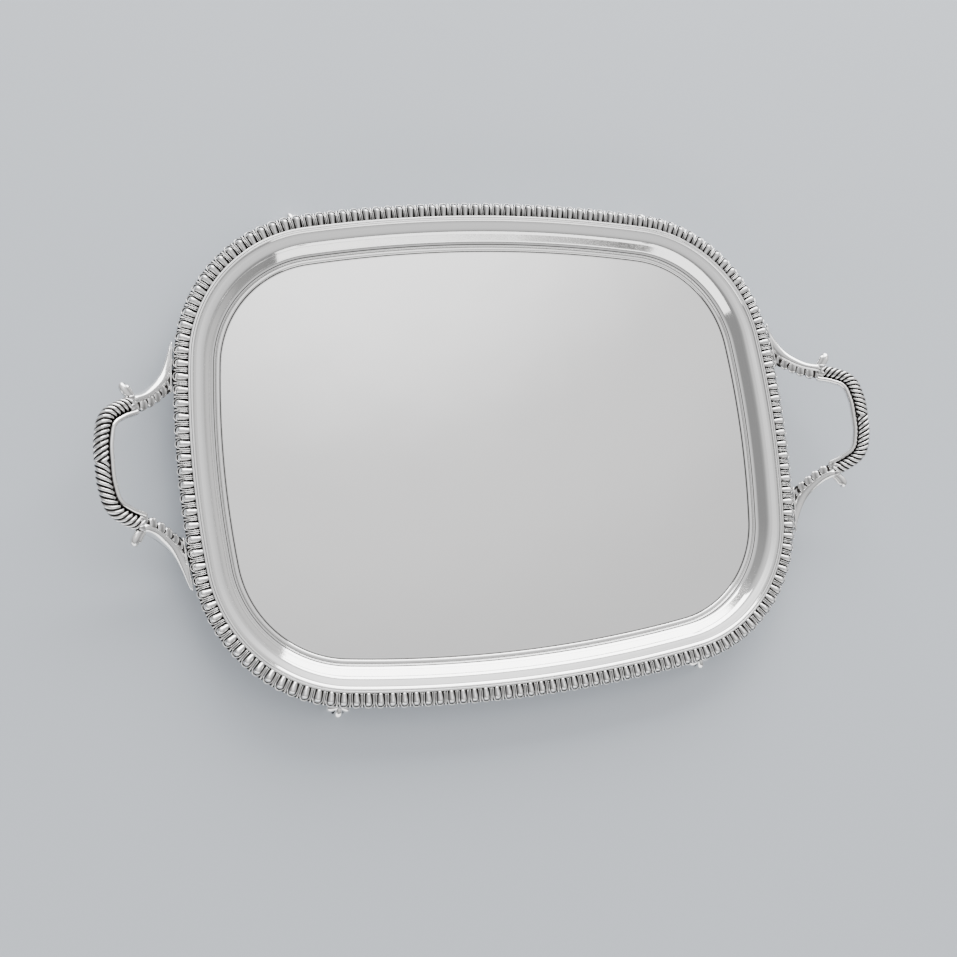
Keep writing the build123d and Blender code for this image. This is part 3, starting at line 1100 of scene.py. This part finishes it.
# How far a direction points the brightest way, and how bright the sky is there
SKY = [
    (0.0, 0.32),
    (0.24, 0.4),
    (0.36, 0.6),
    (0.55, 0.8),
    (0.76, 0.92),
    (0.88, 0.95),
    (0.945, 1.2),
    (1.0, 2.4),
]
world = bpy.data.worlds.new("studio")
bpy.context.scene.world = world
world.use_nodes = True
world_tree = world.node_tree
background = world_tree.nodes["Background"]
direction = add_node(world_tree, "ShaderNodeTexCoord").outputs["Generated"]
towards = add_node(world_tree, "ShaderNodeVectorMath", operation="DOT_PRODUCT")
towards.inputs[1].default_value = BRIGHTEST_WAY
world_tree.links.new(direction, towards.inputs[0])
ramp = add_node(world_tree, "ShaderNodeValToRGB")
ramp.color_ramp.interpolation = "EASE"
while len(ramp.color_ramp.elements) < len(SKY):
    ramp.color_ramp.elements.new(0.5)
for element, (place, level) in zip(ramp.color_ramp.elements, SKY):
    element.position = place
    element.color = (level, level, level * 1.01, 1)
world_tree.links.new(towards.outputs["Value"], ramp.inputs["Fac"])
world_tree.links.new(ramp.outputs["Color"], background.inputs["Color"])
background.inputs["Strength"].default_value = 1.0
print("sky levels", [level for _, level in SKY])


# %% Lights
def soft_light(name, place, target, size, power):
    lamp = bpy.data.lights.new(name, "AREA")
    lamp.shape = "RECTANGLE"
    lamp.size, lamp.size_y = size
    lamp.energy = power
    light = bpy.data.objects.new(name, lamp)
    bpy.context.scene.collection.objects.link(light)
    light.location = place
    light.rotation_euler = (Vector(target) - Vector(place)).to_track_quat("-Z", "Y").to_euler()
    print(name, size, "m,", power, "W")


soft_light("back_softbox", (0.8, 2.2, 0.97), (0.8, 0, 0.9), (3.0, 1.85), 130)
soft_light("front_softbox", (-0.6, -2.3, 0.65), (0, 0, 0.3), (6.4, 1.2), 58)

# %% Camera
# The camera stands to the front left and looks steeply down. Its angles are in degrees: the way
# it faces round the upright, how far it leans from straight down, and its roll.
CAMERA_FROM_WELL = Vector((-0.335, -0.1289, 0.8852))
CAMERA_HEADING, CAMERA_TILT, CAMERA_ROLL = -71.393, 20.458, 66.055
lens = bpy.data.cameras.new("camera")
lens.sensor_width = 36.0
lens.lens = 45.775
lens.clip_start = 0.01
camera = bpy.data.objects.new("camera", lens)
bpy.context.scene.collection.objects.link(camera)
turn = Matrix.Rotation(math.radians(CAMERA_HEADING), 4, "Z")
turn = turn @ Matrix.Rotation(math.radians(CAMERA_TILT), 4, "X")
turn = turn @ Matrix.Rotation(math.radians(CAMERA_ROLL), 4, "Z")
turn.translation = CAMERA_FROM_WELL + Vector((0, 0, WELL_TOP))
camera.matrix_world = turn
bpy.context.scene.camera = camera
print("camera", round(CAMERA_FROM_WELL.length, 3), "m from the middle of the well")
